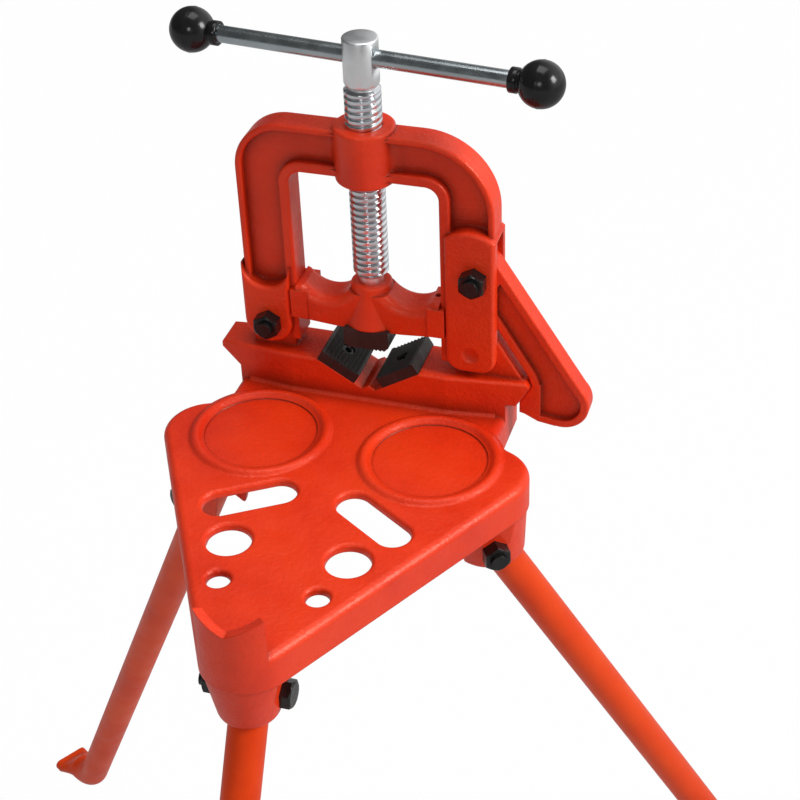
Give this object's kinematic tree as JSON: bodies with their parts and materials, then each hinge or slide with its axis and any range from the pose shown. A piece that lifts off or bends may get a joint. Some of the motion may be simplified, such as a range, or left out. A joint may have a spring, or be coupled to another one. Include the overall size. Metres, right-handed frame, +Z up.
{
  "type": "pipe vise stand",
  "caption": "Folding tripod stand with a cast tool tray and a yoke pipe vise: toothed V jaws, hinged yoke with latch lever, clamp screw with sliding T-handle.",
  "frame": {"origin": "on the floor, below the middle of the footprint of the open stand with its handle centred", "axes": "+Z up; +Y from the notched front corner of the tray to the vise; +X to the latch side of the yoke"},
  "size_m": [0.838, 0.7586, 0.937],
  "materials": {
    "enamel_casting": "glossy red-orange enamel over cast iron",
    "enamel_leg": "glossy orange-red enamel on steel pipe",
    "black_oxide": "black oxide, satin",
    "zinc_screw": "bright zinc plate",
    "steel_bar": "ground and zinc plated",
    "pin_steel": "plain steel",
    "ball_plastic": "gloss black"
  },
  "bodies": {
    "stand": {"tray_casting": "enamel_casting", "lower_jaw_left": "black_oxide", "lower_jaw_right": "black_oxide", "lower_jaw_screws": "black_oxide", "leg_bolts": "black_oxide", "leg_nuts": "black_oxide"},
    "yoke": {"yoke": "enamel_casting", "hinge_bolt": "black_oxide", "hinge_nut": "black_oxide", "latch_bolt": "black_oxide", "latch_nut": "black_oxide"},
    "latch": {"latch_lever": "enamel_casting"},
    "crosshead": {"crosshead": "enamel_casting", "upper_jaw": "black_oxide", "upper_jaw_screw": "black_oxide", "screw_retaining_pins": "pin_steel"},
    "screw": {"clamp_screw": "zinc_screw"},
    "handle": {"handle_bar": "steel_bar", "handle_ball_left": "ball_plastic", "handle_ball_right": "ball_plastic"},
    "leg_front": {"leg_front": "enamel_leg"},
    "leg_rear_left": {"leg_rear_left": "enamel_leg"},
    "leg_rear_right": {"leg_rear_right": "enamel_leg"}
  },
  "joints": [
    {"name": "yoke_hinge", "type": "hinge", "parent": "stand", "child": "yoke", "pos_m": [-0.0767, 0.25505, 0.7055], "axis": [0, -1, 0], "range_deg": [0, 85]},
    {"name": "latch_swing", "type": "hinge", "parent": "yoke", "child": "latch", "pos_m": [0.0815, 0.25505, 0.766], "axis": [0, -1, 0], "range_deg": [0, 85]},
    {"name": "crosshead_slide", "type": "slide", "parent": "yoke", "child": "crosshead", "axis": [0, 0, 1], "range_m": [-0.018, 0.06]},
    {"name": "screw_turn", "type": "hinge", "parent": "crosshead", "child": "screw", "pos_m": [0, 0.25505, 0.745], "axis": [0, 0, 1], "range_deg": [-1280, 4310]},
    {"name": "handle_slide", "type": "slide", "parent": "screw", "child": "handle", "axis": [0.9945, -0.1045, 0], "range_m": [-0.09, 0.09]},
    {"name": "fold_leg_front", "type": "hinge", "parent": "stand", "child": "leg_front", "pos_m": [0, -0.02025, 0.598], "axis": [1, 0, 0], "range_deg": [0, 34]},
    {"name": "fold_leg_rear_left", "type": "hinge", "parent": "stand", "child": "leg_rear_left", "pos_m": [-0.105, 0.17375, 0.598], "axis": [-0.5299, -0.848, 0], "range_deg": [0, 34]},
    {"name": "fold_leg_rear_right", "type": "hinge", "parent": "stand", "child": "leg_rear_right", "pos_m": [0.105, 0.17375, 0.598], "axis": [-0.5299, 0.848, 0], "range_deg": [0, 34]}
  ],
  "couplings": [
    {"joint": "latch_swing", "follows": "yoke_hinge", "ratio": 1},
    {"joint": "crosshead_slide", "follows": "screw_turn", "m_per_rad": 0.00079577}
  ]
}
